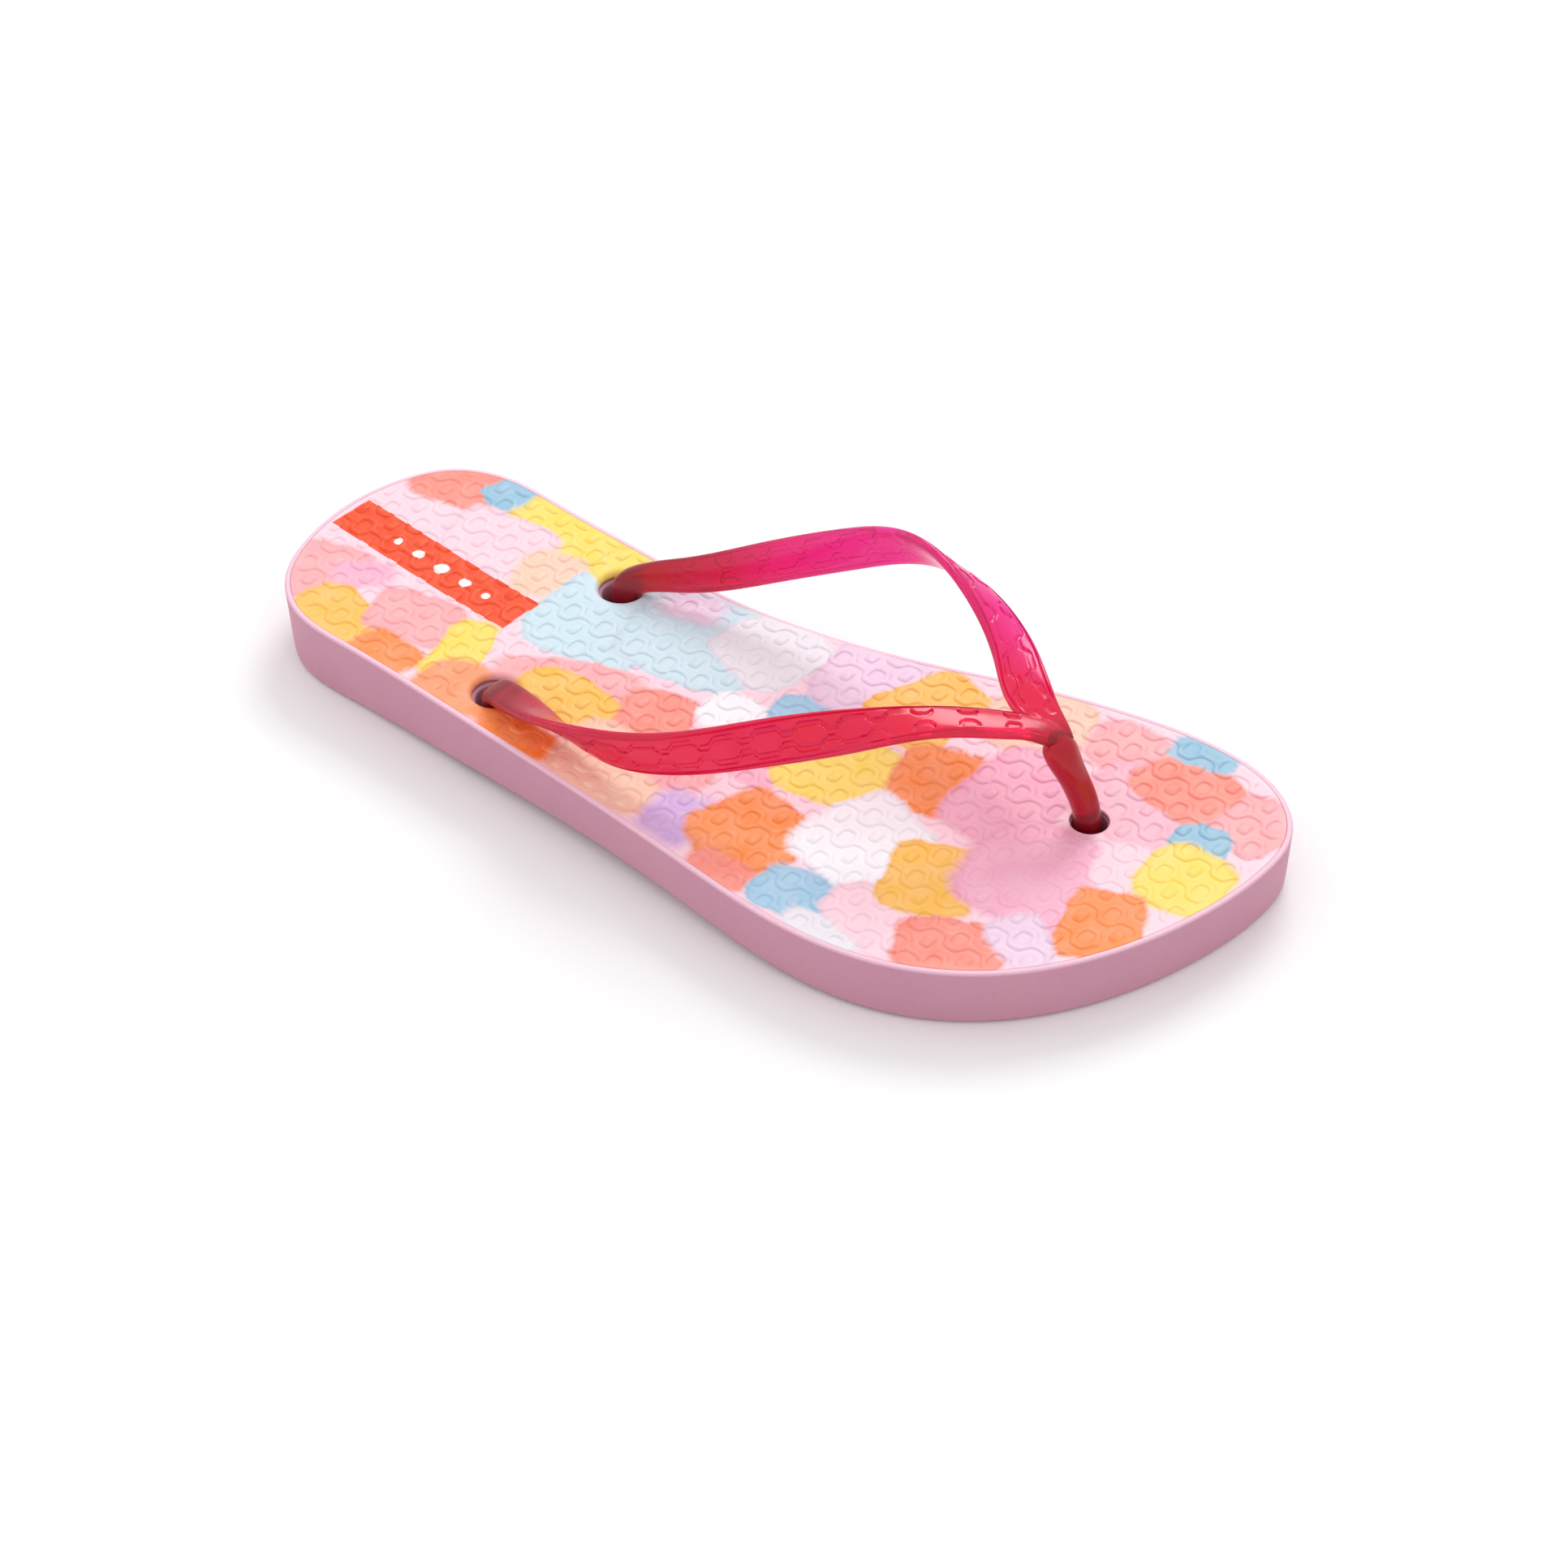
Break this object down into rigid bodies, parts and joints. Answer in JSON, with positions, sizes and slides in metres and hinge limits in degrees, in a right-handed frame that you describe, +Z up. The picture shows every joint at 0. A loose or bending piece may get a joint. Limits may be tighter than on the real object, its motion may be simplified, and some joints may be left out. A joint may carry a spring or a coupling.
{
  "type": "flip-flop sandal",
  "caption": "Right-foot flip-flop with a foam sole, an embossed printed footbed and a translucent Y-shaped thong strap.",
  "frame": {"origin": "on the ground plane under the middle of the bounding box", "axes": "+X towards the toe, +Y towards the big-toe side, +Z up"},
  "size_m": [0.2472, 0.1112, 0.0545],
  "materials": {
    "foam": "matte, fine grained",
    "print": "satin, embossed, multicoloured brush-stroke print",
    "strap": "translucent, satin gloss"
  },
  "bodies": {
    "sole": {"sole": "foam", "footbed_print": "print"},
    "strap": {"y_strap": "strap"}
  },
  "joints": [
    {"name": "strap_press", "type": "hinge", "parent": "sole", "child": "strap", "pos_m": [-0.0496, -0.0148, 0.007], "axis": [0, 1, 0], "range_deg": [0, 1.2], "stiffness_Nm_per_rad": 3, "springref_deg": -11.46}
  ]
}
